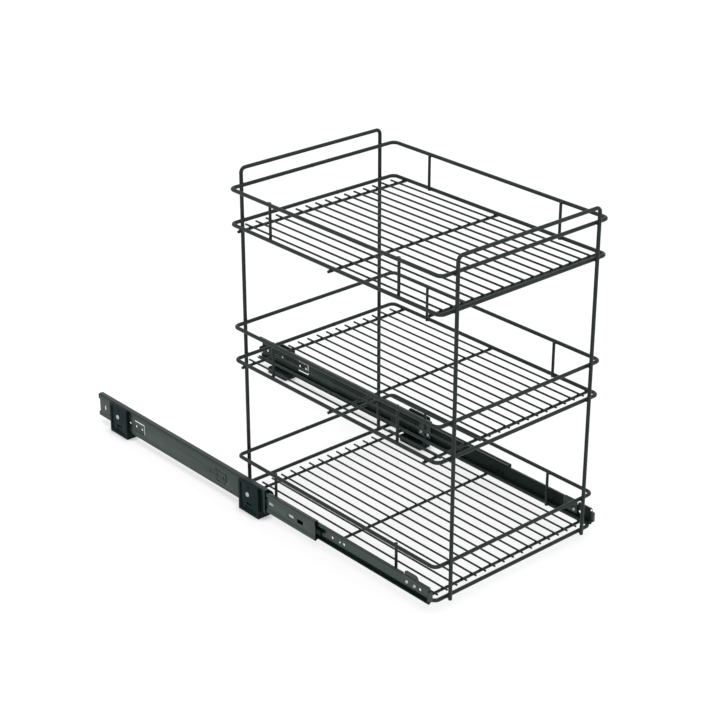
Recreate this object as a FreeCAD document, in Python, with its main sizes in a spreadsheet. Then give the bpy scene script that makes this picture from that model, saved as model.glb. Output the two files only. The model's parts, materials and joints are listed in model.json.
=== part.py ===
import FreeCAD, Part
import math
import os
import re
import Sketcher

# Pull-out wire basket: three welded wire baskets carried by two ball-bearing runners.
# Millimetres, +Z up, front is -Y. The origin is the middle of the four floor screws, on the cabinet floor.
# The pose is partly pulled out, as the unit stands in use.

doc = FreeCAD.newDocument("PullOutWireBasket")
sheet = doc.addObject("Spreadsheet::Sheet", "Sizes")

sizes = [
    # wire rack
    ("rim_depth", 495.0, "front to back between the centres of the rim wires"),
    ("rim_width", 360.0, "side to side between the centres of the rim wires"),
    ("rim_corner", 10.0, "bend radius of the rim corners at the wire's centre"),
    ("rim_rise", 61.0, "from a lower rim up to the upper rim of the same basket"),
    ("basket_pitch", 245.0, "from one basket to the next above"),
    ("lower_rim_height", 24.0, "bottom basket's lower rim above the cabinet floor"),
    ("rim_wire", 6.5, "rim wire diameter"),
    ("hoop_wire", 6.5, "hoop wire diameter"),
    ("upright_wire", 5.0, "upright wire diameter"),
    ("cross_wire", 5.0, "cross wire diameter"),
    ("floor_wire", 3.4, "floor wire diameter"),
    ("weld_sink", 0.15, "how far two welded wires sink into each other"),
    ("hoop_width", 304.0, "between the centres of a hoop's legs"),
    ("hoop_corner", 8.5, "bend radius of a hoop's top corners at the wire's centre"),
    ("hoop_rise", 27.0, "hoop's top bar above the topmost rim"),
    ("leg_drop", 5.0, "hoop legs below the bottom basket's lower rim"),
    ("upright_inset", 95.5, "uprights from the front and back rim wires"),
    ("upright_tail", 1.5, "uprights past the rims they join"),
    ("cross_inset", 25.0, "front and back cross wires from the rim wires"),
    ("top_cross_lead", 5.5, "top basket's front cross wire ahead of that inset"),
    ("cross_nub", 6.0, "cross wires past the centre of the side rim wires"),
    ("runner_nub", 3.0, "the same on the bottom basket, trimmed to clear the runners"),
    ("floor_inset", 19.5, "outermost floor wires from the side rim wires"),
    ("floor_overhang", 12.0, "floor wires past the front and back cross wires"),
    # runners
    ("runner_length", 500.0, "length of the cabinet rail and of the drawer rail"),
    ("runner_height", 46.0, "height of the cabinet rail"),
    ("runner_depth", 12.0, "side thickness of the whole runner"),
    ("runner_rise", 11.5, "middle of the runner above the bottom basket's lower rim"),
    ("cabinet_sheet", 1.2, "sheet of the cabinet rail"),
    ("cabinet_bend", 1.3, "inside bend radius of the cabinet rail"),
    ("cabinet_lip", 4.0, "height of the cabinet rail's lips"),
    ("lip_setback", 0.4, "cabinet rail's lips back from the drawer rail's face"),
    ("rear_notch", 4.0, "web cut back at the cabinet rail's rear end"),
    ("rear_notch_height", 26.0, "height of that cut"),
    ("rail_sheet", 1.0, "sheet of the intermediate and drawer rails"),
    ("rail_bend", 0.8, "inside bend radius of the intermediate and drawer rails"),
    ("middle_height", 38.0, "height of the intermediate rail"),
    ("middle_offset", 2.2, "intermediate rail's tracks from the cabinet rail's outer face"),
    ("middle_recess", 1.2, "intermediate rail's web back from its tracks"),
    ("middle_web", 22.0, "height of that recessed web"),
    ("middle_slope", 1.2, "height of the slope between web and track"),
    ("middle_end_gap", 0.6, "intermediate rail's flange back from the cabinet rail's lip face"),
    ("drawer_height", 30.8, "height of the drawer rail"),
    ("drawer_lip_angle", 80.0, "degrees that the drawer rail's track wraps below the ball"),
    ("end_flange", 1.2, "thickness of the drawer rail's turned front end"),
    ("end_flange_height", 19.0, "height of that turned end"),
    ("end_flange_width", 6.4, "how far it reaches out from the web"),
    ("ball", 4.0, "ball diameter"),
    ("ball_gap", 0.25, "running gap between a ball and its track"),
    ("balls_per_row", 7, "balls in one row"),
    ("ball_pitch", 18.0, "between balls of a row"),
    ("cage_sheet", 0.5, "sheet of the ball cages"),
    ("cage_length", 130.0, "length of a ball cage"),
    ("cage_gap", 0.3, "running gap of an inner ball cage"),
    ("cage_edge", 0.5, "cage flange back from the wall of the track"),
    ("cage_pocket", 0.15, "gap between a ball and its cage pocket"),
    ("outer_cage_start", 160.0, "outer cage behind the rail front when shut"),
    ("inner_cage_start", 200.0, "inner cage behind the rail front when shut"),
    ("rack_lead", 400.0, "how far the rack is pulled out here"),
    ("left_lead", 145.0, "how far the left intermediate rail has followed"),
    ("right_lead", 220.0, "how far the right intermediate rail has followed"),
    ("middle_start", 15.0, "intermediate rail behind the rail front when shut"),
    ("rim_overhang", 4.0, "front rim wire ahead of the drawer rails"),
    # cuts in the rails
    ("tongue_length", 31.0, "length of a lanced tongue in the cabinet rail"),
    ("tongue_height", 23.0, "height of the slot round it"),
    ("tongue_slot", 2.6, "width of that slot"),
    ("front_tongue", 106.0, "front tongue's closed end from the rail front"),
    ("rear_tongue", 352.0, "rear tongue's closed end from the rail front"),
    ("tongue_hole", 5.0, "diameter of the holes in and beside a tongue"),
    ("tongue_hole_first", 8.0, "first tongue hole from the closed end"),
    ("tongue_hole_second", 26.0, "second tongue hole from the closed end"),
    ("tongue_hole_third", 45.0, "hole behind the tongue from its closed end"),
    ("rear_slot_setback", 21.0, "rear slot from the rail's rear end"),
    ("rear_slot_height", 9.0, "height of the rear slot"),
    ("rear_slot_width", 4.0, "width of the rear slot"),
    ("middle_hole", 7.5, "height of the slots in the intermediate rail"),
    ("middle_slot", 15.0, "length of those slots"),
    ("middle_slot_front", 32.0, "front slot from the intermediate rail's front"),
    ("middle_slot_second", 57.0, "second slot from the same end"),
    ("middle_slot_third", 111.0, "third slot from the same end"),
    ("drawer_hole", 5.0, "diameter of the holes in the drawer rail"),
    ("drawer_hole_first", 206.0, "first middle hole from the drawer rail's front"),
    ("drawer_hole_second", 217.0, "second middle hole"),
    ("drawer_hole_third", 235.0, "third middle hole"),
    ("drawer_hole_front", 23.5, "front hole"),
    ("flange_notch", 4.4, "depth of the cut in the drawer rail's top flange at the front fixing plate"),
    ("flange_notch_gap", 0.5, "that cut past each end of the plate"),
    # stops
    ("bumper_length", 6.0, "length of the rear bumper"),
    ("bumper_height", 10.0, "height of the rear bumper"),
    ("bumper_depth", 7.5, "side thickness of the rear bumper"),
    ("bumper_setback", 2.0, "rear bumper from the rail's rear end"),
    ("bumper_gap", 0.5, "intermediate rail from the rear bumper when shut"),
    ("tip_reach", 5.5, "front bumper ahead of the drawer rail"),
    ("tip_height", 17.5, "height of the front bumper"),
    ("tip_width", 5.5, "width of the front bumper"),
    ("tip_corner", 1.0, "corner radius of the front bumper"),
    ("stop_reach", 12.0, "rail stop ahead of the intermediate rail"),
    ("stop_grip", 20.0, "rail stop's length on the intermediate rail"),
    ("stop_height", 9.0, "height of the rail stop"),
    ("stop_depth", 3.4, "side thickness of the rail stop"),
    ("stop_corner", 2.0, "corner radius of the rail stop"),
    # fixing plates
    ("plate_sheet", 1.5, "sheet of the fixing plates"),
    ("plate_length", 32.0, "length of a fixing plate along the rail"),
    ("plate_over", 4.3, "fixing plate above the drawer rail"),
    ("plate_under", 4.0, "fixing plate below the centre of the lower rim wire"),
    ("plate_corner", 7.0, "radius of its top corners"),
    ("plate_front", 45.0, "middle of a front fixing plate from the drawer rail's front"),
    ("plate_rear", 406.0, "middle of a rear fixing plate from the same end"),
    ("rivet", 4.0, "rivet shank diameter"),
    ("rivet_gap", 0.05, "gap round the shank in its holes"),
    ("rivet_spacing", 18.0, "between the two rivets of a plate"),
    ("rivet_head", 7.0, "rivet head diameter at its base"),
    ("rivet_crown", 4.6, "rivet head diameter at its top"),
    ("rivet_head_height", 1.3, "height of a rivet head"),
    # brackets
    ("bracket_pitch", 390.0, "front to rear between bracket middles"),
    ("bracket_setback", 38.0, "front bracket's middle from the rail front"),
    ("bracket_length", 54.0, "bracket along the rail"),
    ("bracket_height", 60.0, "bracket above the cabinet floor"),
    ("bracket_plate", 4.5, "thickness of the bracket's outer plate"),
    ("bracket_standoff", 1.5, "groove between the plate and the rail"),
    ("bracket_rim", 4.0, "how far that groove reaches in from the edges"),
    ("bracket_inside", 26.0, "bracket from its outer face to the end of its foot"),
    ("bracket_corner", 3.0, "radius of the plate's top corners"),
    ("panel_frame", 5.0, "width of the raised frame round the plate"),
    ("panel_sink", 1.6, "depth of the sunk panel"),
    ("panel_corner", 2.0, "corner radius of the sunk panel"),
    ("side_rivet", 5.0, "shank diameter of the rivet through plate and rail"),
    ("side_rivet_setback", 4.0, "that rivet behind the middle of the bracket"),
    ("side_rivet_head", 9.5, "head diameter of that rivet at its base"),
    ("side_rivet_crown", 7.0, "head diameter of that rivet at its top"),
    ("dimple", 4.5, "diameter of the ejector mark near the top of the panel"),
    ("dimple_drop", 10.0, "middle of that mark below the top of the bracket"),
    ("latch_slot_length", 15.0, "length of the slot in the panel"),
    ("latch_slot_height", 4.0, "height of that slot"),
    ("latch_slot_floor", 16.0, "bottom of that slot above the floor"),
    ("latch_slot_sink", 4.0, "depth of that slot from the outer face"),
    ("label_length", 20.0, "length of the shallow field at the foot of the panel"),
    ("label_height", 5.0, "height of that field"),
    ("label_floor", 8.0, "bottom of that field above the floor"),
    ("label_sink", 2.6, "depth of that field"),
    ("floor_hole", 4.4, "diameter of the floor screw hole"),
    ("floor_hole_edge", 3.7, "floor screw hole from the end of the foot"),
]

for row, (alias, size, note) in enumerate(sizes, start=1):
    sheet.set(f"A{row}", note)
    sheet.set(f"B{row}", str(size))
    sheet.setAlias(f"B{row}", alias)
doc.recompute()


def cells(text):
    # Turns size names in an expression into cell references, leaving functions alone.
    return re.sub(r"[a-z][a-z_]+(?!\w*\()", lambda word: "Sizes." + word.group(), text)


def number(text):
    return float(sheet.evalExpression(cells(text)))


def bind(item, **expressions):
    for name, text in expressions.items():
        item.setExpression(name.replace("_dot_", "."), cells(text))
    return item


def place(item, x="0", y="0", z="0"):
    return bind(item, Placement_dot_Base_dot_x=x, Placement_dot_Base_dot_y=y, Placement_dot_Base_dot_z=z)


# Derived places, as expressions of the sizes.
wire_touch = "rim_wire / 2 - weld_sink"
plate_face = f"(rim_width / 2 + {wire_touch})"
rail_face = f"({plate_face} + plate_sheet + runner_depth)"
bracket_face = f"({rail_face} + bracket_plate + bracket_standoff)"
runner_middle = "(lower_rim_height + runner_rise)"
runner_bottom = f"({runner_middle} - runner_height / 2)"
rail_front = "(-bracket_pitch / 2 - bracket_setback)"
drawer_front = f"({rail_front} - rack_lead)"
rim_front = f"({drawer_front} - rim_overhang)"
rim_back = f"({rim_front} + rim_depth)"
cabinet_depth = "(runner_depth - lip_setback)"
track = "(ball / 2 + ball_gap)"
outer_ball_u = f"({cabinet_depth} - cabinet_sheet - {track})"
outer_ball_v = f"(runner_height / 2 - cabinet_sheet - {track})"
inner_ball_u = f"(middle_offset + rail_sheet + {track})"
inner_ball_v = f"({outer_ball_v} - sqrt((2 * {track} + rail_sheet)^2 - ({outer_ball_u} - {inner_ball_u})^2))"
middle_web_inside = "(middle_offset + middle_recess + rail_sheet)"
middle_length = "(runner_length - bumper_setback - bumper_length - bumper_gap - middle_start)"

sides = {"left": 1, "right": -1}     # direction from the runner towards the rack along X
levels = {"bottom": 0, "middle": 1, "top": 2}
floor_wires = 16
nodes = {}


def keep(name, item):
    item.Label = name
    nodes[name] = item
    return item


# Sketch helpers.
def pin(sketch, edge, point, x, y):
    for kind, text in (("DistanceX", x), ("DistanceY", y)):
        index = sketch.addConstraint(Sketcher.Constraint(kind, -1, 1, edge, point, number(text)))
        sketch.setExpression(f"Constraints[{index}]", cells(text))


def draw(sketch, outline, closed=True):
    # An outline is a list of corners (x, y) or (x, y, (centre x, centre y, turn)).
    # The last form starts an arc.
    # Turn is 1 for anticlockwise and -1 for clockwise.
    spots = [FreeCAD.Vector(number(corner[0]), number(corner[1]), 0) for corner in outline]
    count = len(outline)
    edges = []
    for index in range(count if closed else count - 1):
        start, end = spots[index], spots[(index + 1) % count]
        if len(outline[index]) == 2:
            edges.append((sketch.addGeometry(Part.LineSegment(start, end)), 1, 2))
            continue
        middle_x, middle_y, turn = outline[index][2]
        middle = FreeCAD.Vector(number(middle_x), number(middle_y), 0)
        circle = Part.Circle(middle, FreeCAD.Vector(0, 0, 1), (start - middle).Length)
        angles = [math.atan2(spot.y - middle.y, spot.x - middle.x) for spot in (start, end)]
        if turn > 0:
            edges.append((sketch.addGeometry(Part.ArcOfCircle(circle, angles[0], angles[1])), 1, 2))
        else:
            edges.append((sketch.addGeometry(Part.ArcOfCircle(circle, angles[1], angles[0])), 2, 1))
    for index, (edge, first, last) in enumerate(edges):
        pin(sketch, edge, first, outline[index][0], outline[index][1])
        if index > 0 or closed:
            before, _, before_last = edges[index - 1]
            sketch.addConstraint(Sketcher.Constraint("Coincident", before, before_last, edge, first))
        if len(outline[index]) == 3:
            chord = spots[(index + 1) % count] - spots[index]
            kind, axis = ("DistanceY", 1) if abs(chord.x) > abs(chord.y) else ("DistanceX", 0)
            text = outline[index][2][axis]
            number_index = sketch.addConstraint(Sketcher.Constraint(kind, -1, 1, edge, 3, number(text)))
            sketch.setExpression(f"Constraints[{number_index}]", cells(text))
    if not closed:
        pin(sketch, edges[-1][0], edges[-1][2], outline[-1][0], outline[-1][1])


def disc(sketch, x, y, diameter):
    centre = FreeCAD.Vector(number(x), number(y), 0)
    edge = sketch.addGeometry(Part.Circle(centre, FreeCAD.Vector(0, 0, 1), number(diameter) / 2))
    pin(sketch, edge, 3, x, y)
    index = sketch.addConstraint(Sketcher.Constraint("Radius", edge, number(diameter) / 2))
    sketch.setExpression(f"Constraints[{index}]", cells(f"{diameter} / 2"))


def block(x0, x1, y0, y1):
    return [(x0, y0), (x1, y0), (x1, y1), (x0, y1)]


def rounded(x0, x1, y0, y1, low, high):
    # A rectangle with one radius on its low corners and another on its high corners.
    return [
        (f"{x0} + {low}", y0), (f"{x1} - {low}", y0, (f"{x1} - {low}", f"{y0} + {low}", 1)),
        (x1, f"{y0} + {low}"), (x1, f"{y1} - {high}", (f"{x1} - {high}", f"{y1} - {high}", 1)),
        (f"{x1} - {high}", y1), (f"{x0} + {high}", y1, (f"{x0} + {high}", f"{y1} - {high}", 1)),
        (x0, f"{y1} - {high}"), (x0, f"{y0} + {low}", (f"{x0} + {low}", f"{y0} + {low}", 1)),
    ]


def arched(x0, x1, y0, y1, high):
    # A rectangle with square low corners and rounded high ones.
    return [(x0, y0), (x1, y0)] + rounded(x0, x1, y0, y1, "0", high)[3:7]


def mirrored(chain, inward):
    # Closes a half profile of (u, v) corners above the middle line with its reflection below it.
    def half(corner, arc, side):
        shape = [f"{inward} * ({corner[0]})", f"{side} * ({corner[1]})"]
        if arc:
            shape.append((f"{inward} * ({arc[0]})", f"{side} * ({arc[1]})", arc[2] * inward))
        return tuple(shape)
    arcs = [corner[2] if len(corner) == 3 else None for corner in chain]
    upper = [half(corner, arc, 1) for corner, arc in zip(chain, arcs)]
    lower = [half(corner, arc, -1) for corner, arc in zip(chain, [None] + arcs[:-1])]
    return upper + lower[::-1]


# Body helpers.
def new_body(name):
    return keep(name, doc.addObject("PartDesign::Body", name))


def new_sketch(body, role):
    sketch = body.newObject("Sketcher::SketchObject", f"{body.Name}_sketch")
    plane = next(item for item in body.Origin.OriginFeatures if item.Role == role)
    sketch.AttachmentSupport = (plane, [""])
    sketch.MapMode = "FlatFace"
    return sketch


def pad(body, sketch, length, backward):
    feature = body.newObject("PartDesign::Pad", f"{body.Name}_pad")
    feature.Profile = sketch
    feature.Reversed = backward
    return bind(feature, Length=length)


def pocket(body, sketch, depth, backward):
    feature = body.newObject("PartDesign::Pocket", f"{body.Name}_pocket")
    feature.Profile = sketch
    feature.Reversed = backward
    return bind(feature, Length=depth)


def extrude(body, role, outline, length, backward):
    sketch = new_sketch(body, role)
    draw(sketch, outline)
    return pad(body, sketch, length, backward)


# Rails, drawn as (u, v): u from the cabinet rail's outer face towards the rack, v from the middle height.
def rail_body(name, chain, inward, length, front):
    body = new_body(name)
    extrude(body, "XZ_Plane", mirrored(chain, inward), length, True)
    return place(body, f"{-inward} * {rail_face}", front, runner_middle)


def web_cuts(body, inward, outlines, discs, depth):
    sketch = new_sketch(body, "YZ_Plane")
    for outline in outlines:
        draw(sketch, outline)
    for x, y, diameter in discs:
        disc(sketch, x, y, diameter)
    pocket(body, sketch, depth, inward > 0)


def tongue(closed_end):
    # A slot running round three sides of a tongue that stays joined at its rear.
    outside = "tongue_height / 2"
    inside = "(tongue_height / 2 - tongue_slot)"
    open_end = f"{closed_end} + tongue_length"
    root = f"{closed_end} + tongue_slot"
    return [
        (open_end, outside), (closed_end, outside), (closed_end, f"-{outside}"), (open_end, f"-{outside}"),
        (open_end, f"-{inside}"), (root, f"-{inside}"), (root, inside), (open_end, inside),
    ]


def cabinet_rail(side, inward):
    top = "runner_height / 2"
    bend = "(cabinet_bend + cabinet_sheet)"
    shoulder = f"{top} - {bend}"
    lip_end = f"{top} - cabinet_lip"
    lip_inside = f"{cabinet_depth} - cabinet_sheet"
    back = (bend, shoulder)
    front = (f"{cabinet_depth} - {bend}", shoulder)
    chain = [
        ("0", shoulder, (*back, -1)), (bend, top), (front[0], top, (*front, -1)), (cabinet_depth, shoulder),
        (cabinet_depth, lip_end), (lip_inside, lip_end), (lip_inside, shoulder, (*front, 1)),
        (front[0], f"{top} - cabinet_sheet"), (bend, f"{top} - cabinet_sheet", (*back, 1)),
        ("cabinet_sheet", shoulder),
    ]
    body = rail_body(f"{side}_cabinet_rail", chain, inward, "runner_length", rail_front)
    half_notch = "rear_notch_height / 2"
    half_slot = "rear_slot_height / 2"
    slot = "runner_length - rear_slot_setback"
    outlines = [
        block("runner_length - rear_notch", "runner_length + rear_notch", f"-{half_notch}", half_notch),
        block(f"{slot} - rear_slot_width / 2", f"{slot} + rear_slot_width / 2", f"-{half_slot}", half_slot),
    ]
    rivet_hole = "(side_rivet + 2 * rivet_gap)"
    discs = [(f"bracket_setback + side_rivet_setback + {step} * bracket_pitch", "0", rivet_hole)
             for step in (0, 1)]
    for closed_end in ("front_tongue", "rear_tongue"):
        outlines.append(tongue(closed_end))
        for offset in ("tongue_hole_first", "tongue_hole_second", "tongue_hole_third"):
            discs.append((f"{closed_end} + {offset}", "0", "tongue_hole"))
    web_cuts(body, inward, outlines, discs, "2 * cabinet_sheet")


def intermediate_rail(side, inward, lead):
    top = "middle_height / 2"
    bend = "(rail_bend + rail_sheet)"
    corner = (f"middle_offset + {bend}", f"{top} - {bend}")
    web = "middle_offset + middle_recess"
    web_top = "middle_web / 2"
    slope_top = f"{web_top} + middle_slope"
    ball = (outer_ball_u, outer_ball_v)
    wide = f"({track} + rail_sheet)"
    flange_end = f"{cabinet_depth} - middle_end_gap"
    under = f"{top} - rail_sheet"
    chain = [
        (web, web_top), ("middle_offset", slope_top),
        ("middle_offset", corner[1], (*corner, -1)), (corner[0], top),
        (f"{ball[0]} - sqrt({track}^2 - ({ball[1]} - {top})^2)", top, (*ball, 1)),
        (ball[0], f"{ball[1]} - {track}"), (flange_end, f"{ball[1]} - {track}"),
        (flange_end, f"{ball[1]} - {wide}"), (ball[0], f"{ball[1]} - {wide}", (*ball, -1)),
        (f"{ball[0]} - sqrt({wide}^2 - ({ball[1]} - {top} + rail_sheet)^2)", under),
        (corner[0], under, (*corner, 1)),
        ("middle_offset + rail_sheet", corner[1]), ("middle_offset + rail_sheet", slope_top),
        (f"{web} + rail_sheet", web_top),
    ]
    front = f"({rail_front} + middle_start - {lead})"
    body = rail_body(f"{side}_intermediate_rail", chain, inward, middle_length, front)
    half = "middle_hole / 2"
    outlines = []
    for start in ("middle_slot_front", "middle_slot_second", "middle_slot_third"):
        outlines.append(block(start, f"{start} + middle_slot", f"-{half}", half))
    web_cuts(body, inward, outlines, [], f"{middle_web_inside} + rail_sheet")
    stop = new_body(f"{side}_rail_stop")
    half_stop = "stop_height / 2"
    outline = rounded("-stop_reach", "stop_grip", f"-{half_stop}", half_stop, "stop_corner", "stop_corner")
    extrude(stop, "YZ_Plane", outline, "stop_depth", inward < 0)
    place(stop, f"{-inward} * ({rail_face} - {middle_web_inside})", front, runner_middle)


def drawer_rail(side, inward):
    top = "drawer_height / 2"
    bend = "(rail_bend + rail_sheet)"
    corner = (f"runner_depth - {bend}", f"{top} - {bend}")
    ball = (inner_ball_u, inner_ball_v)
    wide = f"({track} + rail_sheet)"
    under = f"{top} - rail_sheet"
    lip = [(f"{ball[0]} + {reach} * cos(drawer_lip_angle)", f"{ball[1]} - {reach} * sin(drawer_lip_angle)")
           for reach in (track, wide)]
    chain = [
        ("runner_depth", corner[1], (*corner, 1)), (corner[0], top),
        (f"{ball[0]} + sqrt({track}^2 - ({top} - {ball[1]})^2)", top, (*ball, -1)),
        lip[0], (*lip[1], (*ball, 1)),
        (f"{ball[0]} + sqrt({wide}^2 - ({under} - {ball[1]})^2)", under), (corner[0], under, (*corner, -1)),
        ("runner_depth - rail_sheet", corner[1]),
    ]
    body = rail_body(f"{side}_drawer_rail", chain, inward, "runner_length", drawer_front)
    half = "end_flange_height / 2"
    across = sorted((f"{inward} * (runner_depth - end_flange_width)", f"{inward} * runner_depth"), key=number)
    extrude(body, "XZ_Plane", block(*across, f"-{half}", half), "end_flange", True)
    discs = [(y, "0", "drawer_hole") for y in ("drawer_hole_first", "drawer_hole_second", "drawer_hole_third",
                                               "drawer_hole_front")]
    for middle in ("plate_front", "plate_rear"):
        for end in ("-", "+"):
            discs.append((f"{middle} {end} rivet_spacing / 2", "0", "(rivet + 2 * rivet_gap)"))
    reach = "(plate_length / 2 + flange_notch_gap)"
    notch = block(f"plate_front - {reach}", f"plate_front + {reach}",
                  f"{top} - flange_notch", f"{top} + flange_notch")
    web_cuts(body, inward, [notch], discs, "runner_depth + rail_sheet")


def front_bumper(side, inward):
    # A small block on the front of the drawer rail's turned end.
    body = new_body(f"{side}_front_bumper")
    half_width = "tip_width / 2"
    half_height = "tip_height / 2"
    outline = rounded(f"-{half_width}", half_width, f"-{half_height}", half_height,
                      "tip_corner", "tip_corner")
    extrude(body, "XZ_Plane", outline, "tip_reach", False)
    place(body, f"{-inward} * ({rail_face} - runner_depth + end_flange_width / 2)",
          drawer_front, runner_middle)


def ball_cage(name, chain, inward, front, ball):
    # Two rows of balls, above and below, in pockets cut a little larger than the balls.
    blank = doc.addObject("PartDesign::Body", f"{name}_cage_blank")
    extrude(blank, "XZ_Plane", mirrored(chain, inward), "cage_length", True)
    place(blank, f"{-inward} * {rail_face}", front, runner_middle)
    rows = {"balls": [], "pockets": []}
    for gap, group in (("0", "balls"), ("cage_pocket", "pockets")):
        for row in (1, -1):
            for index in range(int(number("balls_per_row"))):
                sphere = doc.addObject("Part::Sphere", f"{name}_{group}_sphere")
                bind(sphere, Radius=f"ball / 2 + {gap}")
                along = f"(cage_length - (balls_per_row - 1) * ball_pitch) / 2 + {index} * ball_pitch"
                place(sphere, f"{-inward} * ({rail_face} - {ball[0]})", f"{front} + {along}",
                      f"{runner_middle} + {row} * {ball[1]}")
                rows[group].append(sphere)
    pockets = doc.addObject("Part::Compound", f"{name}_pockets")
    pockets.Links = rows["pockets"]
    cage = keep(f"{name}_ball_cage", doc.addObject("Part::Cut", f"{name}_ball_cage"))
    cage.Base = blank
    cage.Tool = pockets
    balls = keep(f"{name}_balls", doc.addObject("Part::Compound", f"{name}_balls"))
    balls.Links = rows["balls"]


def ball_cages(side, inward, lead):
    web = "(cabinet_sheet + (middle_offset - cabinet_sheet - cage_sheet) / 2)"
    top = "((middle_height / 2 + runner_height / 2 - cabinet_sheet + cage_sheet) / 2)"
    edge = f"{cabinet_depth} - cabinet_sheet - cage_edge"
    chain = [(web, top), (edge, top),
             (edge, f"{top} - cage_sheet"), (f"{web} + cage_sheet", f"{top} - cage_sheet")]
    ball_cage(f"{side}_outer", chain, inward, f"({rail_front} + outer_cage_start - {lead} / 2)",
              (outer_ball_u, outer_ball_v))
    web = f"({middle_web_inside} + cage_gap)"
    top = f"({inner_ball_v} + cage_sheet / 2)"
    edge = f"{inner_ball_u} + {track} - cage_edge"
    chain = [(web, top), (edge, top),
             (edge, f"{top} - cage_sheet"), (f"{web} + cage_sheet", f"{top} - cage_sheet")]
    ball_cage(f"{side}_inner", chain, inward, f"({rail_front} + inner_cage_start - (rack_lead + {lead}) / 2)",
              (inner_ball_u, inner_ball_v))


def rear_bumper(side, inward):
    body = new_body(f"{side}_rear_bumper")
    half = "bumper_height / 2"
    centre = (f"bumper_length - {half}", "0")
    outline = [("0", f"-{half}"), (centre[0], f"-{half}", (*centre, 1)), ("bumper_length", "0", (*centre, 1)),
               (centre[0], half), ("0", half)]
    extrude(body, "YZ_Plane", outline, "bumper_depth", inward < 0)
    place(body, f"{-inward} * ({rail_face} - cabinet_sheet)",
          f"{rail_front} + runner_length - bumper_setback - bumper_length", runner_middle)


def bracket(side, inward, end, way):
    body = new_body(f"{side}_{end}_bracket")
    half = "bracket_length / 2"
    inset = f"({half} - bracket_rim)"
    backward = inward < 0
    extrude(body, "YZ_Plane", arched(f"-{half}", half, "0", "bracket_height", "bracket_corner"),
            "bracket_plate", backward)
    extrude(body, "YZ_Plane", block(f"-{inset}", inset, "0", "bracket_height - bracket_rim"),
            "bracket_plate + bracket_standoff", backward)
    extrude(body, "YZ_Plane", block(f"-{half}", half, "0", runner_bottom), "bracket_inside", backward)
    panel = f"({half} - panel_frame)"
    cuts = [
        (rounded(f"-{panel}", panel, "panel_frame", "bracket_height - panel_frame",
                 "panel_corner", "panel_corner"), "panel_sink"),
        (block("-latch_slot_length / 2", "latch_slot_length / 2", "latch_slot_floor",
               "latch_slot_floor + latch_slot_height"), "latch_slot_sink"),
        (block("-label_length / 2", "label_length / 2", "label_floor",
               "label_floor + label_height"), "label_sink"),
    ]
    for outline, depth in cuts:
        web_cuts(body, inward, [outline], [], depth)
    web_cuts(body, inward, [], [("0", "bracket_height - dimple_drop", "dimple")], "label_sink")
    web_cuts(body, inward, [], [("side_rivet_setback", runner_middle, "(side_rivet + 2 * rivet_gap)")],
             "2 * bracket_plate + bracket_standoff")
    sketch = new_sketch(body, "XY_Plane")
    disc(sketch, f"{inward} * (bracket_inside - floor_hole_edge)", "0", "floor_hole")
    pocket(body, sketch, "bracket_height", True)
    place(body, f"{-inward} * {bracket_face}", f"{way} * bracket_pitch / 2", "0")


def fixing_plate(side, inward, end, middle):
    body = new_body(f"{side}_{end}_fixing_plate")
    half = "plate_length / 2"
    low = "-(runner_rise + plate_under)"
    outline = arched(f"-{half}", half, low, "drawer_height / 2 + plate_over", "plate_corner")
    extrude(body, "YZ_Plane", outline, "plate_sheet", inward > 0)
    holes = [(f"{sign} * rivet_spacing / 2", "0", "(rivet + 2 * rivet_gap)") for sign in (-1, 1)]
    web_cuts(body, -inward, [], holes, "2 * plate_sheet")
    place(body, f"{-inward} * {plate_face}", f"{drawer_front} + {middle}", runner_middle)


def turned(item, axis):
    # Lays a piece that stands along Z along another axis.
    spin = {"x": ((0, 1, 0), 90), "y": ((1, 0, 0), -90), "z": ((0, 0, 1), 0)}[axis]
    item.Placement = FreeCAD.Placement(FreeCAD.Vector(), FreeCAD.Rotation(FreeCAD.Vector(*spin[0]), spin[1]))
    return item


def wire(name, diameter, length, axis, x, y, z):
    item = doc.addObject("Part::Cylinder", name)
    bind(item, Radius=f"{diameter} / 2", Height=length)
    return place(turned(item, axis), x, y, z)


def head(y, face, base, crown):
    item = doc.addObject("Part::Cone", "rivet_head")
    bind(item, Radius1=f"{base} / 2", Radius2=f"{crown} / 2", Height="rivet_head_height")
    return place(turned(item, "x"), face, y, runner_middle)


def side_rivet(inward, y):
    # Its head lies in the bracket's panel.
    # Its far end is flush with the inside of the cabinet rail's web.
    seat = f"({bracket_face} - panel_sink)"
    flush = f"({rail_face} - cabinet_sheet)"
    ends = sorted((f"{-inward} * {seat}", f"{-inward} * {flush}"), key=number)
    shank = wire("side_rivet_shank", "side_rivet", f"{seat} - {flush}", "x", ends[0], y, runner_middle)
    if inward > 0:
        cap = head(y, f"-{seat} - rivet_head_height", "side_rivet_crown", "side_rivet_head")
    else:
        cap = head(y, seat, "side_rivet_head", "side_rivet_crown")
    item = doc.addObject("Part::MultiFuse", "side_rivet")
    item.Shapes = [shank, cap]
    return item


def rivet(inward, y):
    # The shank runs through plate and web and has a head on each side.
    outside = f"({plate_face} + plate_sheet + rail_sheet)"
    length = "plate_sheet + rail_sheet"
    faces = sorted((f"{-inward} * {plate_face}", f"{-inward} * {outside}"), key=number)
    shank = wire("rivet_shank", "rivet", length, "x", faces[0], y, runner_middle)
    low = head(y, f"{faces[0]} - rivet_head_height", "rivet_crown", "rivet_head")
    high = head(y, faces[1], "rivet_head", "rivet_crown")
    item = doc.addObject("Part::MultiFuse", "plate_rivet")
    item.Shapes = [shank, low, high]
    return item


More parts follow.
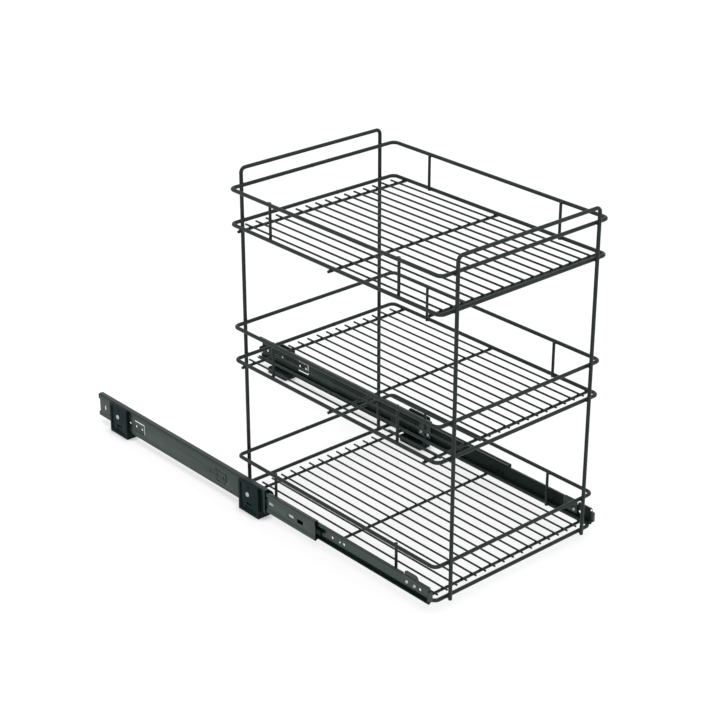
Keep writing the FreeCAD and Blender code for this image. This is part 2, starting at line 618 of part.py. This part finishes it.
def swept(name, path, edges, diameter, axis, x, y, z):
    # A round wire bent along a sketched path, from the start of its first edge.
    section = doc.addObject("Part::Circle", f"{name}_section")
    bind(section, Radius=f"{diameter} / 2")
    place(turned(section, axis), x, y, z)
    sweep = keep(name, doc.addObject("Part::Sweep", name))
    sweep.Sections = [section]
    sweep.Spine = (path, [f"Edge{index + 1}" for index in range(edges)])
    sweep.Solid = True
    sweep.Frenet = False


def rim(name, height):
    path = doc.addObject("Sketcher::SketchObject", f"{name}_path")
    side = "rim_width / 2"
    outline = rounded(f"-{side}", side, rim_front, rim_back, "rim_corner", "rim_corner")
    draw(path, outline)
    place(path, "0", "0", height)
    swept(name, path, len(outline), "rim_wire", "x", outline[0][0], rim_front, height)


def hoop(name, y):
    path = doc.addObject("Sketcher::SketchObject", f"{name}_path")
    path.Placement = FreeCAD.Placement(FreeCAD.Vector(), FreeCAD.Rotation(FreeCAD.Vector(1, 0, 0), 90))
    side = "hoop_width / 2"
    low = "lower_rim_height - leg_drop"
    high = "(lower_rim_height + 2 * basket_pitch + rim_rise + hoop_rise)"
    shoulder = f"{high} - hoop_corner"
    outline = [
        (f"-{side}", low), (f"-{side}", shoulder, (f"-{side} + hoop_corner", shoulder, -1)),
        (f"-{side} + hoop_corner", high),
        (f"{side} - hoop_corner", high, (f"{side} - hoop_corner", shoulder, -1)),
        (side, shoulder), (side, low),
    ]
    draw(path, outline, closed=False)
    place(path, "0", y, "0")
    swept(name, path, len(outline) - 1, "hoop_wire", "z", f"-{side}", y, low)


def basket(level, step, nub, lead):
    low = f"(lower_rim_height + {step} * basket_pitch)"
    high = f"({low} + rim_rise)"
    rim(f"{level}_lower_rim", low)
    rim(f"{level}_upper_rim", high)
    cross_z = f"({low} - rim_wire / 2 - cross_wire / 2 + weld_sink)"
    floor_z = f"({cross_z} + cross_wire / 2 + floor_wire / 2 - weld_sink)"
    first = f"({rim_front} + cross_inset - {lead})"
    last = f"({rim_back} - cross_inset)"
    crosses = []
    for y in (first, f"({first} + {last}) / 2", last):
        crosses.append(wire(f"{level}_cross_wire", "cross_wire", f"rim_width + 2 * {nub}", "x",
                            f"-rim_width / 2 - {nub}", y, cross_z))
    group = keep(f"{level}_cross_wires", doc.addObject("Part::Compound", f"{level}_cross_wires"))
    group.Links = crosses
    floor_length = "rim_depth - 2 * cross_inset + 2 * floor_overhang"
    floors = []
    for index in range(floor_wires):
        x = f"{index / (floor_wires - 1) - 0.5} * (rim_width - 2 * floor_inset)"
        floors.append(wire(f"{level}_floor_wire", "floor_wire", floor_length, "y",
                           x, f"{rim_front} + cross_inset - floor_overhang", floor_z))
    group = keep(f"{level}_floor_wires", doc.addObject("Part::Compound", f"{level}_floor_wires"))
    group.Links = floors
    upright_x = "(rim_width / 2 - rim_wire / 2 - upright_wire / 2 + weld_sink)"
    for side, inward in sides.items():
        for end, y in (("front", f"{rim_front} + upright_inset"), ("rear", f"{rim_back} - upright_inset")):
            name = f"{level}_{side}_{end}_upright"
            keep(name, wire(name, "upright_wire", "rim_rise + 2 * upright_tail", "z",
                            f"{-inward} * {upright_x}", y, f"{low} - upright_tail"))


rivets = []
side_rivets = []
for side, inward in sides.items():
    lead = f"{side}_lead"
    cabinet_rail(side, inward)
    rear_bumper(side, inward)
    for end, way in (("front", -1), ("rear", 1)):
        bracket(side, inward, end, way)
        side_rivets.append(side_rivet(inward, f"{way} * bracket_pitch / 2 + side_rivet_setback"))
    intermediate_rail(side, inward, lead)
    ball_cages(side, inward, lead)
    drawer_rail(side, inward)
    front_bumper(side, inward)
    for end in ("front", "rear"):
        fixing_plate(side, inward, end, f"plate_{end}")
        for sign in (-1, 1):
            rivets.append(rivet(inward, f"{drawer_front} + plate_{end} + {sign} * rivet_spacing / 2"))
for name, links in (("plate_rivets", rivets), ("bracket_rivets", side_rivets)):
    group = keep(name, doc.addObject("Part::Compound", name))
    group.Links = links

hoop_step = f"({wire_touch} + hoop_wire / 2)"
hoop("front_hoop", f"{rim_front} - {hoop_step}")
hoop("rear_hoop", f"{rim_back} + {hoop_step}")
for level, step in levels.items():
    nub = "cross_nub" if step else "runner_nub"
    basket(level, step, nub, "top_cross_lead" if level == "top" else "0")

doc.recompute()
for item in doc.Objects:
    if "Invalid" in item.State or "Error" in item.State:
        raise RuntimeError(f"{item.Label} could not be built")
os.makedirs("parts", exist_ok=True)
for name, item in nodes.items():
    if item.Shape.isNull() or not item.Shape.isValid():
        raise RuntimeError(f"{name} has no valid shape")
    item.Shape.exportStep(f"parts/{name}.step")
print(len(nodes), "pieces,", sum(len(item.Shape.Solids) for item in nodes.values()), "solids")
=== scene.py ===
import json
import bmesh
import bpy
import numpy as np
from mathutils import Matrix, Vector


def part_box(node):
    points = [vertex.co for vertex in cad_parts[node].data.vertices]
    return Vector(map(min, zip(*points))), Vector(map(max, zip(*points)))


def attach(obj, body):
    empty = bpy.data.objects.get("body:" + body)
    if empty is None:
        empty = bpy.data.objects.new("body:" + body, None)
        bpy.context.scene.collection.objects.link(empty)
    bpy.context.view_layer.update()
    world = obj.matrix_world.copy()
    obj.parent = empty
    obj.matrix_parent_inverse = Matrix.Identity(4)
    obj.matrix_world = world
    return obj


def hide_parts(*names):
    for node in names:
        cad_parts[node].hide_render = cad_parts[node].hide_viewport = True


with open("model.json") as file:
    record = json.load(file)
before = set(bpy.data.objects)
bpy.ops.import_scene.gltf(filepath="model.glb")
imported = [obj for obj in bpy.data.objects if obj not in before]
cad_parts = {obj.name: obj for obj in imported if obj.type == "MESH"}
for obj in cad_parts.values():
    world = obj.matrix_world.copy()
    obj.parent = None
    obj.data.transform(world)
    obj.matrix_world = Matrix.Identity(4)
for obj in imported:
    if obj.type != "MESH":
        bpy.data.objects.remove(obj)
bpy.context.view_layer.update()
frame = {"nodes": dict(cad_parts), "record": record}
nodes = frame["nodes"]
mm = 0.001
print("frame loaded:", len(nodes), "nodes")


def linear(code):  # sRGB hex to linear colour
    rgb = np.array([int(code[i:i + 2], 16) for i in (1, 3, 5)]) / 255
    return (*np.where(rgb <= 0.04045, rgb / 12.92, ((rgb + 0.055) / 1.055) ** 2.4).tolist(), 1.0)


def addNode(tree, kind, settings=None, **links):
    # One node: settings go on it or on its sockets, links come from other nodes' sockets.
    node = tree.nodes.new(kind)
    for key, value in (settings or {}).items():
        if isinstance(key, int) or key in node.inputs:
            node.inputs[key].default_value = value
        else:
            setattr(node, key, value)
    for key, socket in links.items():
        slot = int(key[2:]) if key.startswith("in") and key[2:].isdigit() else key.replace("_", " ")
        tree.links.new(socket, node.inputs[slot])
    return node


def rampStops(node, stops):  # the two colour stops of a ramp, as (place, hex)
    for element, (place, code) in zip(node.color_ramp.elements, stops):
        element.position = place
        element.color = linear(code)
    return node


pattern = {"patchDetail": 3.0, "grainDetail": 2.0, "darkStop": 0.32, "lightStop": 0.68}


def finishMaterial(name, look):
    # A surface with three things the eye reads: slow patches of tone, a fine grain in gloss and height,
    # and worn edges.
    material = bpy.data.materials.new(name)
    material.use_nodes = True
    tree = material.node_tree
    tree.nodes.clear()
    place = addNode(tree, "ShaderNodeTexCoord").outputs["Object"]
    stretched = addNode(tree, "ShaderNodeMapping", {"Scale": look["stretch"]}, Vector=place).outputs[0]
    patch = addNode(tree, "ShaderNodeTexNoise",
                    {"Scale": 1 / (look["patchMm"] * mm), "Detail": pattern["patchDetail"]},
                    Vector=place)
    grain = addNode(tree, "ShaderNodeTexNoise",
                    {"Scale": 1 / (look["grainMm"] * mm), "Detail": pattern["grainDetail"]},
                    Vector=stretched)
    tone = rampStops(addNode(tree, "ShaderNodeValToRGB", None, Fac=patch.outputs["Fac"]),
                     [(pattern["darkStop"], look["dark"]), (pattern["lightStop"], look["light"])])
    edge = addNode(tree, "ShaderNodeNewGeometry").outputs["Pointiness"]
    worn = addNode(tree, "ShaderNodeMapRange",
                   {"From Min": look["wearFrom"], "From Max": look["wearTo"]}, Value=edge)
    spotty = addNode(tree, "ShaderNodeMath", {"operation": "MULTIPLY"},
                     in0=worn.outputs[0], in1=patch.outputs["Fac"])
    # Sockets 0, 6 and 7 of a colour mix are its factor and its two colours
    colour = addNode(tree, "ShaderNodeMix", {"data_type": "RGBA", 7: linear(look["worn"])},
                     in0=spotty.outputs[0], in6=tone.outputs[0])
    gloss = addNode(tree, "ShaderNodeMapRange", {"To Min": look["smooth"], "To Max": look["rough"]},
                    Value=grain.outputs["Fac"])
    bump = addNode(tree, "ShaderNodeBump", {"Strength": look["bump"], "Distance": look["bumpMm"] * mm},
                   Height=grain.outputs["Fac"])
    shader = addNode(tree, "ShaderNodeBsdfPrincipled",
                     {"Metallic": look["metallic"], "Specular IOR Level": look["gleam"],
                      "Specular Tint": linear(look["tint"])},
                     Base_Color=colour.outputs[2], Roughness=gloss.outputs[0], Normal=bump.outputs[0])
    addNode(tree, "ShaderNodeOutputMaterial", None, Surface=shader.outputs[0])
    return material


# Satin black polyester powder on drawn wire: a faint orange peel about 1.4 mm wide, low broad highlights
powderLook = {"dark": "#0b1512", "light": "#131f1c", "worn": "#2b3734", "patchMm": 38, "grainMm": 1.4,
              "stretch": (1, 1, 1), "smooth": 0.38, "rough": 0.54, "bump": 0.22, "bumpMm": 0.05,
              "metallic": 0.0, "gleam": 0.35, "tint": "#f2fffc", "wearFrom": 0.58, "wearTo": 0.75}
# Black e-coat on cold-rolled strip: thin, smooth and semi-gloss, with rolling lines along the rail
eCoatLook = {"dark": "#0f1f1b", "light": "#162823", "worn": "#43504c", "patchMm": 55, "grainMm": 0.9,
             "stretch": (1, 0.06, 1), "smooth": 0.17, "rough": 0.27, "bump": 0.1, "bumpMm": 0.03,
             "metallic": 0.0, "gleam": 0.5, "tint": "#ecfffb", "wearFrom": 0.56, "wearTo": 0.7}
# The same coat on the outer rails, rubbed duller by handling
dullCoatLook = {**eCoatLook, "smooth": 0.24, "rough": 0.36, "gleam": 0.34}
# The coat on faces turned to the rack and in lower tracks, darker and hardly shiny: painted shade,
# standing in for the shade these faces see
paintedShadeCoatLook = {**eCoatLook, "dark": "#0a1512", "light": "#0f1c19",
                 "smooth": 0.36, "rough": 0.5, "gleam": 0.14}
# Moulded black polyamide: spark-eroded mould grain about 0.5 mm, soft sheen, paler rubbed corners
polyamideLook = {"dark": "#0b1718", "light": "#122021", "worn": "#283636", "patchMm": 18, "grainMm": 0.5,
                 "stretch": (1, 1, 1), "smooth": 0.42, "rough": 0.62, "bump": 0.3, "bumpMm": 0.06,
                 "metallic": 0.0, "gleam": 0.1, "tint": "#daf8ff", "wearFrom": 0.57, "wearTo": 0.72}
# Acetal of the buffers: charcoal, waxy and a little paler than the brackets
acetalLook = {**polyamideLook, "dark": "#1d2424", "light": "#283030", "worn": "#3b4444",
              "smooth": 0.3, "rough": 0.42, "gleam": 0.5, "tint": "#f2feff"}
# Black nitrile rubber: matt, dusty on its high spots
rubberLook = {"dark": "#0c0d0d", "light": "#141515", "worn": "#282929", "patchMm": 9, "grainMm": 0.4,
              "stretch": (1, 1, 1), "smooth": 0.68, "rough": 0.85, "bump": 0.25, "bumpMm": 0.05,
              "metallic": 0.0, "gleam": 0.3, "tint": "#ffffff", "wearFrom": 0.57, "wearTo": 0.75}
# Bright zinc plate on pressed steel: grey metal with cloudy passivation
zincLook = {"dark": "#9aa0a3", "light": "#b9bec0", "worn": "#d6d9da", "patchMm": 6, "grainMm": 0.35,
            "stretch": (1, 0.2, 1), "smooth": 0.2, "rough": 0.36, "bump": 0.1, "bumpMm": 0.02,
            "metallic": 1.0, "gleam": 0.5, "tint": "#ffffff", "wearFrom": 0.56, "wearTo": 0.7}
powderWire = finishMaterial("powder-coated steel wire", powderLook)
eCoatSteel = finishMaterial("e-coated strip steel", eCoatLook)
dullCoatSteel = finishMaterial("dull e-coated strip steel", dullCoatLook)
# painted shade: a darker, duller coat for faces turned to the rack and for lower tracks
paintedShadeCoatSteel = finishMaterial("greased e-coated strip steel", paintedShadeCoatLook)
polyamide = finishMaterial("moulded polyamide", polyamideLook)
acetal = finishMaterial("acetal", acetalLook)
nitrile = finishMaterial("nitrile rubber", rubberLook)
zincSteel = finishMaterial("zinc-plated steel", zincLook)
print("materials made")

wireWork = {"sides": 20, "rodSides": 14, "arcPoints": 13, "endRings": 5, "nose": 0.7 * mm,
            "rimBend": 10 * mm, "hoopBend": 8.5 * mm, "floorCount": 16, "crossCount": 3,
            "seamSwell": 0.35 * mm, "seamWide": 1.7 * mm, "seamReach": 3,
            "seamSpots": {"lower": 31 * mm, "upper": -24 * mm}, "seamStep": 9 * mm}


def tube(path, normal, radii, closed, sides):
    # Circles carried along a flat path: point = path + radius * (cos t * normal - sin t * across).
    tangent = np.roll(path, -1, 0) - np.roll(path, 1, 0)
    if not closed:
        tangent[0], tangent[-1] = path[1] - path[0], path[-1] - path[-2]
    tangent /= np.linalg.norm(tangent, axis=1)[:, None]
    normal = np.broadcast_to(normal, path.shape)
    across = np.cross(tangent, normal)
    turn = np.linspace(0, 2 * np.pi, sides, endpoint=False)[None, :, None]
    ring = np.cos(turn) * normal[:, None, :] - np.sin(turn) * across[:, None, :]
    points = path[:, None, :] + np.asarray(radii)[:, None, None] * ring
    rows = np.arange(len(path) if closed else len(path) - 1)[:, None]
    cols = np.arange(sides)[None, :]
    after, beside = (rows + 1) % len(path), (cols + 1) % sides
    quads = np.stack([rows * sides + cols, rows * sides + beside,
                      after * sides + beside, after * sides + cols], -1)
    faces = quads.reshape(-1, 4).tolist()
    if not closed:
        last = (len(path) - 1) * sides
        faces += [list(range(sides))[::-1], list(range(last, last + sides))]
    return points.reshape(-1, 3), faces


def cutEnds(path, radius, nose):
    # The rings at both cut ends close in along a quarter circle: depth = nose (1 - cos a),
    # and the radius is less by nose (1 - sin a).
    angle = np.linspace(0, np.pi / 2, wireWork["endRings"])
    depth, narrow = nose * (1 - np.cos(angle)), radius - nose * (1 - np.sin(angle))
    first = (path[1] - path[0]) / np.linalg.norm(path[1] - path[0])
    final = (path[-2] - path[-1]) / np.linalg.norm(path[-2] - path[-1])
    rings = [path[0] + depth[:, None] * first, path[1:-1], path[-1] + depth[::-1, None] * final]
    return np.concatenate(rings), np.concatenate([narrow, np.full(len(path) - 2, radius), narrow[::-1]])


def lumps(centres, axes, sizes, rings, sides):
    # Ellipsoids at many centres: point = centre + sum of axis * size * unit sphere,
    # with one point at each pole.
    polar = np.linspace(0, np.pi, rings + 1)[1:-1]
    turn = np.linspace(0, 2 * np.pi, sides, endpoint=False)
    wide, high = np.sin(polar)[:, None], np.cos(polar)[:, None]
    belt = np.stack(np.broadcast_arrays(wide * np.cos(turn), wide * np.sin(turn), high), -1)
    belt = belt.reshape(-1, 3)
    unit = np.concatenate([belt, [[0, 0, 1], [0, 0, -1]]])
    rows, cols = np.arange(rings - 2)[:, None], np.arange(sides)[None, :]
    beside = (cols + 1) % sides
    quads = np.stack([rows * sides + cols, (rows + 1) * sides + cols, (rows + 1) * sides + beside,
                      rows * sides + beside], -1).reshape(-1, 4)
    cols, beside, low = np.arange(sides), (np.arange(sides) + 1) % sides, (rings - 2) * sides
    top = np.stack([np.full(sides, len(belt)), cols, beside], -1)
    foot = np.stack([np.full(sides, len(belt) + 1), low + beside, low + cols], -1)
    shift = np.arange(len(centres))[:, None, None] * len(unit)
    points = np.asarray(centres)[:, None, :] + (unit * sizes) @ np.asarray(axes, float)
    faces = []
    for group in (quads, top, foot):
        faces += (group[None] + shift).reshape(-1, group.shape[1]).tolist()
    return points.reshape(-1, 3), faces


def joinParts(parts):  # several (points, faces) as one
    starts = np.cumsum([0] + [len(points) for points, _ in parts])
    faces = []
    for (_, group), start in zip(parts, starts.tolist()):
        faces += [[index + start for index in face] for face in group]
    return np.concatenate([points for points, _ in parts]), faces


bodyOf = {node: body for body, names in frame["record"]["behaviour"]["bodies"].items() for node in names}


def newPiece(name, shape, material, replaced=(), body="rack"):
    mesh = bpy.data.meshes.new(name)
    mesh.from_pydata(shape[0].tolist(), [], shape[1])
    mesh.polygons.foreach_set("use_smooth", [True] * len(mesh.polygons))
    mesh.materials.append(material)
    piece = bpy.data.objects.new(name, mesh)
    bpy.context.scene.collection.objects.link(piece)
    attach(piece, body)
    if replaced:
        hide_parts(*replaced)


def corners(node):  # low and high corner of a node's box
    low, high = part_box(node)
    return np.array(low), np.array(high)


def arcRow(centre, start, stop, radius):  # points of an arc in a plane, angles in degrees
    angle = np.radians(np.linspace(start, stop, wireWork["arcPoints"]))
    return np.stack([centre[0] + radius * np.cos(angle), centre[1] + radius * np.sin(angle)], -1)


def rimShape(node, seam):
    # A rounded rectangle of wire, with the swelling of its butt weld on the back run:
    # radius + swell * exp(-(x / width)^2), drawn with as many points as an arc.
    low, high = corners(node)
    radius = (high[2] - low[2]) / 2
    x0, y0, x1, y1 = low[0] + radius, low[1] + radius, high[0] - radius, high[1] - radius
    bend, count = wireWork["rimBend"], wireWork["arcPoints"]
    swell = np.linspace(wireWork["seamReach"], -wireWork["seamReach"], count) * wireWork["seamWide"]
    runs = [arcRow((x1 - bend, y0 + bend), -90, 0, bend),
            arcRow((x1 - bend, y1 - bend), 0, 90, bend),
            np.stack([swell + seam, np.full(count, y1)], -1),
            arcRow((x0 + bend, y1 - bend), 90, 180, bend),
            arcRow((x0 + bend, y0 + bend), 180, 270, bend)]
    flat = np.concatenate(runs)
    path = np.column_stack([flat, np.full(len(flat), low[2] + radius)])
    radii = np.full(len(path), radius)
    radii[2 * count:3 * count] += wireWork["seamSwell"] * np.exp(-(swell / wireWork["seamWide"]) ** 2)
    return tube(path, (0, 0, 1), radii, True, wireWork["sides"])


def hoopShape(node):
    # One wire up, over and down, with round top corners and cut feet.
    low, high = corners(node)
    radius = (high[1] - low[1]) / 2
    x0, x1, top, bend = low[0] + radius, high[0] - radius, high[2] - radius, wireWork["hoopBend"]
    flat = np.concatenate([[(x0, low[2])], arcRow((x0 + bend, top - bend), 180, 90, bend),
                           arcRow((x1 - bend, top - bend), 90, 0, bend), [(x1, low[2])]])
    path = np.column_stack([flat[:, 0], np.full(len(flat), low[1] + radius), flat[:, 1]])
    path, radii = cutEnds(path, radius, wireWork["nose"])
    return tube(path, (0, 1, 0), radii, False, wireWork["sides"])


def rodShape(start, end, radius, normal):  # a straight cut wire
    path, radii = cutEnds(np.array([start, end]), radius, wireWork["nose"])
    return tube(path, normal, radii, False, wireWork["rodSides"])


rimRadius = (corners("top_upper_rim")[1][2] - corners("top_upper_rim")[0][2]) / 2
# Half sizes of the weld beads along the two wires and outwards, then rings and sides of each bead
beadWork = {"floor": ((2.2 * mm, 2.2 * mm, 0.9 * mm), 4, 8),
            "cross": ((3.2 * mm, 3.2 * mm, 1.3 * mm), 6, 10),
            "upright": ((3.2 * mm, 3.2 * mm, 1.3 * mm), 6, 10),
            "hoop": ((3.7 * mm, 3.7 * mm, 1.4 * mm), 6, 10)}
# Axes of a bead, the outward one last: upwards, sideways or to the front
flatAxes, sideAxes, frontAxes = np.eye(3), np.eye(3)[[1, 2, 0]], np.eye(3)[[0, 2, 1]]

for name in ("front_hoop", "rear_hoop"):
    newPiece(f"{name}_wire", hoopShape(name), powderWire, [name])
for order, level in enumerate(("bottom", "middle", "top")):
    for rim, seam in wireWork["seamSpots"].items():
        node = f"{level}_{rim}_rim"
        shape = rimShape(node, seam + wireWork["seamStep"] * order)
        newPiece(f"{node}_wire", shape, powderWire, [node])
    crossLow, crossHigh = corners(f"{level}_cross_wires")
    crossRadius = (crossHigh[2] - crossLow[2]) / 2
    crossY = np.linspace(crossLow[1] + crossRadius, crossHigh[1] - crossRadius, wireWork["crossCount"])
    crossZ = crossLow[2] + crossRadius
    rods = [rodShape((crossLow[0], y, crossZ), (crossHigh[0], y, crossZ), crossRadius, (0, 0, 1))
            for y in crossY]
    newPiece(f"{level}_cross_wire_set", joinParts(rods), powderWire,
             [f"{level}_cross_wires"])
    floorLow, floorHigh = corners(f"{level}_floor_wires")
    floorRadius = (floorHigh[2] - floorLow[2]) / 2
    floorX = np.linspace(floorLow[0] + floorRadius, floorHigh[0] - floorRadius, wireWork["floorCount"])
    floorZ = floorLow[2] + floorRadius
    rods = [rodShape((x, floorLow[1], floorZ), (x, floorHigh[1], floorZ), floorRadius, (0, 0, 1))
            for x in floorX]
    newPiece(f"{level}_floor_wire_set", joinParts(rods), powderWire,
             [f"{level}_floor_wires"])
    rimLow, rimHigh = corners(f"{level}_lower_rim")
    levels = [rimLow[2] + rimRadius, corners(f"{level}_upper_rim")[0][2] + rimRadius]
    uprightSpots = []
    for side, sign in (("left", -1), ("right", 1)):
        for end in ("front", "rear"):
            node = f"{level}_{side}_{end}_upright"
            low, high = corners(node)
            middle, radius = (low + high) / 2, (high[0] - low[0]) / 2
            foot, head = (middle[0], middle[1], low[2]), (middle[0], middle[1], high[2])
            rod = rodShape(foot, head, radius, (1, 0, 0))
            newPiece(f"{node}_wire", rod, powderWire, [node])
            uprightSpots += [(middle[0] + sign * radius, middle[1], z) for z in levels]
    grid = np.stack(np.meshgrid(floorX, crossY, [crossHigh[2]]), -1).reshape(-1, 3)
    rimX = [rimLow[0] + rimRadius, rimHigh[0] - rimRadius]
    crossSpots = np.stack(np.meshgrid(rimX, crossY, [crossHigh[2]]), -1).reshape(-1, 3)
    hoopSpots = []
    for hoop, y in (("front_hoop", rimLow[1]), ("rear_hoop", rimHigh[1])):
        low, high = corners(hoop)
        radius = (high[1] - low[1]) / 2
        hoopSpots += [(x, y, z) for x in (low[0] + radius, high[0] - radius) for z in levels]
    beads = [lumps(grid, flatAxes, *beadWork["floor"]),
             lumps(crossSpots, flatAxes, *beadWork["cross"]),
             lumps(uprightSpots, sideAxes, *beadWork["upright"]),
             lumps(hoopSpots, frontAxes, *beadWork["hoop"])]
    newPiece(f"{level}_weld_beads", joinParts(beads), powderWire)
print("wire rack made")

edgeWork = {"merge": 0.002 * mm, "flatAngle": 0.008, "edgeAngle": 0.6, "segments": 2, "turned": 0.5}


def softened(node, width, material, slot, shadeFinish=None, track=0.0):
    # A copy of the solid with its triangles merged and its sharp edges rounded, in place of the node.
    # Faces turned to the rack, where normal * direction to the middle > turned, may get a darker finish
    # of painted shade, and so may the lower ball track, where the middle of the face is below the lowest
    # point + track.
    mesh = nodes[node].data.copy()
    shell = bmesh.new()
    shell.from_mesh(mesh)
    bmesh.ops.remove_doubles(shell, verts=shell.verts, dist=edgeWork["merge"])
    bmesh.ops.dissolve_limit(shell, angle_limit=edgeWork["flatAngle"],
                             verts=shell.verts, edges=shell.edges)
    shell.to_mesh(mesh)
    shell.free()
    mesh.polygons.foreach_set("use_smooth", [True] * len(mesh.polygons))
    mesh.materials.clear()
    mesh.materials.append(material)
    if shadeFinish:
        mesh.materials.append(shadeFinish)
        normals, middles = np.empty((2, 3 * len(mesh.polygons)))
        mesh.polygons.foreach_get("normal", normals)
        mesh.polygons.foreach_get("center", middles)
        low, high = corners(node)
        # painted shade on faces turned to the rack
        facing = normals[::3] * -np.sign(low[0] + high[0]) > edgeWork["turned"]
        # painted shade in the lower ball track
        shadePainted = middles[2::3] < low[2] + track
        mesh.polygons.foreach_set("material_index", (facing | shadePainted).astype(np.int32))
    piece = bpy.data.objects.new(f"{node}_body", mesh)
    bpy.context.scene.collection.objects.link(piece)
    bevel = piece.modifiers.new("edges", "BEVEL")
    bevel.width, bevel.segments, bevel.use_clamp_overlap = width, edgeWork["segments"], True
    bevel.limit_method, bevel.angle_limit = "ANGLE", edgeWork["edgeAngle"]
    weighted = piece.modifiers.new("flats", "WEIGHTED_NORMAL")
    weighted.keep_sharp = True
    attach(piece, bodyOf[node])
    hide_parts(node)


edgeWidths = {"cabinet_rail": 0.25 * mm, "intermediate_rail": 0.2 * mm, "drawer_rail": 0.2 * mm,
              "fixing_plate": 0.35 * mm, "bracket": 0.6 * mm, "rail_stop": 0.5 * mm,
              "rear_bumper": 0.8 * mm, "front_bumper": 0.6 * mm,
              "plate_rivets": 0.25 * mm, "bracket_rivets": 0.3 * mm}
# Material, slot, finish of painted shade and, on the drawer rails, the height of the lower track that
# gets that painted shade
finishes = {"cabinet_rail": (dullCoatSteel, "coated_sheet", paintedShadeCoatSteel),
            "intermediate_rail": (eCoatSteel, "coated_sheet", paintedShadeCoatSteel),
            "drawer_rail": (eCoatSteel, "coated_sheet", paintedShadeCoatSteel, 6.0 * mm),
            "fixing_plate": (eCoatSteel, "coated_sheet"),
            "bracket": (polyamide, "black_plastic"), "rail_stop": (polyamide, "black_plastic"),
            "front_bumper": (acetal, "black_plastic"), "rear_bumper": (nitrile, "black_rubber"),
            "plate_rivets": (zincSteel, "bright_steel"), "bracket_rivets": (zincSteel, "bright_steel")}
for node in nodes:
    kind = next((kind for kind in finishes if node.endswith(kind)), None)
    if kind:
        softened(node, edgeWidths[kind], *finishes[kind])
print("runners and brackets made")

ballWork = {"perRow": 7, "rings": 10, "sides": 14}
for node in nodes:
    if node.endswith("_balls"):
        low, high = corners(node)
        radius = (high[0] - low[0]) / 2
        y = np.linspace(low[1] + radius, high[1] - radius, ballWork["perRow"])
        x, z = [(low[0] + high[0]) / 2], [low[2] + radius, high[2] - radius]
        spots = np.stack(np.meshgrid(x, y, z), -1).reshape(-1, 3)
        shape = lumps(spots, flatAxes, (radius,) * 3, ballWork["rings"], ballWork["sides"])
        newPiece(f"{node}_set", shape, zincSteel, [node], bodyOf[node])
    elif node.endswith("_ball_cage"):
        nodes[node].data.materials.clear()
        nodes[node].data.materials.append(zincSteel)
print("balls and cages made")

studio = {"floorHex": "#a2a2a2", "floorHalf": 14.0, "floorDrop": 0.2 * mm, "floorLift": 0.7,
          "contactMm": 15, "contactDark": 0.95, "contactSamples": 4,
          "worldLight": 0.9, "skyHex": "#ffffff", "lampSize": 3.2, "lampAim": (0, -0.2, 0.3),
          "lamps": {"key": ((-1.2, -2.2, 3.4), 36.0), "fill": ((-3.0, -1.0, 1.6), 10.0)}}
view = {"spot": (-1.891, -2.4027, 1.6038), "target": (-0.0905, -0.359, 0.3167),
        "lens": 92.37, "sensor": 36.0}


def seenDirectly(tree):  # 1 for what the camera, a gloss or a glass sees, 0 for what lights the scene
    path = addNode(tree, "ShaderNodeLightPath")
    both = addNode(tree, "ShaderNodeMath", {"operation": "MAXIMUM"}, in0=path.outputs["Is Camera Ray"],
                   in1=path.outputs["Is Glossy Ray"])
    return addNode(tree, "ShaderNodeMath", {"operation": "MAXIMUM"}, in0=both.outputs[0],
                   in1=path.outputs["Is Transmission Ray"]).outputs[0]


half, down = studio["floorHalf"], -studio["floorDrop"]
floorMesh = bpy.data.meshes.new("studio_floor")
floorCorners = [(-half, -half, down), (half, -half, down), (half, half, down), (-half, half, down)]
floorMesh.from_pydata(floorCorners, [], [(0, 1, 2, 3)])
floor = bpy.data.objects.new("studio_floor", floorMesh)
bpy.context.scene.collection.objects.link(floor)
paper = bpy.data.materials.new("white paper sweep")
paper.use_nodes = True
tree = paper.node_tree
tree.nodes.clear()
matt = addNode(tree, "ShaderNodeBsdfDiffuse", {"Color": linear(studio["floorHex"])})
# Close to what stands on it the paper is shaded more:
# lift * (1 - contactDark * closed share of the sky nearby)
nearby = addNode(tree, "ShaderNodeAmbientOcclusion",
                 {"samples": studio["contactSamples"], "Distance": studio["contactMm"] * mm})
deepest = studio["floorLift"] * (1 - studio["contactDark"])
shade = addNode(tree, "ShaderNodeMapRange", {"To Min": deepest, "To Max": studio["floorLift"]},
                Value=nearby.outputs["AO"])
lift = addNode(tree, "ShaderNodeMath", {"operation": "MULTIPLY"},
               in0=seenDirectly(tree), in1=shade.outputs[0])
glow = addNode(tree, "ShaderNodeEmission", None, Strength=lift.outputs[0])
both = addNode(tree, "ShaderNodeAddShader", None, in0=matt.outputs[0], in1=glow.outputs[0])
addNode(tree, "ShaderNodeOutputMaterial", None, Surface=both.outputs[0])
floorMesh.materials.append(paper)

world = bpy.data.worlds.new("studio")
bpy.context.scene.world = world
world.use_nodes = True
tree = world.node_tree
tree.nodes.clear()
strength = addNode(tree, "ShaderNodeMapRange", {"To Min": studio["worldLight"], "To Max": 1.0},
                   Value=seenDirectly(tree))  # a strength of 1 is white to the eye
sky = addNode(tree, "ShaderNodeBackground", {"Color": linear(studio["skyHex"])},
              Strength=strength.outputs[0])
addNode(tree, "ShaderNodeOutputWorld", None, Surface=sky.outputs[0])


def pointed(name, data, spot, aim):  # an object at a spot that looks at another
    holder = bpy.data.objects.new(name, data)
    holder.location = spot
    holder.rotation_euler = (Vector(aim) - Vector(spot)).to_track_quat("-Z", "Y").to_euler()
    bpy.context.scene.collection.objects.link(holder)
    return holder


for name, (spot, power) in studio["lamps"].items():
    lamp = bpy.data.lights.new(name, "AREA")
    lamp.energy, lamp.size = power, studio["lampSize"]
    pointed(name, lamp, spot, studio["lampAim"])

camera = bpy.data.cameras.new("photo_camera")
camera.lens, camera.sensor_width, camera.sensor_fit = view["lens"], view["sensor"], "HORIZONTAL"
bpy.context.scene.camera = pointed("photo_camera", camera, view["spot"], view["target"])
bpy.context.scene.view_settings.view_transform = "Standard"
print("studio made")
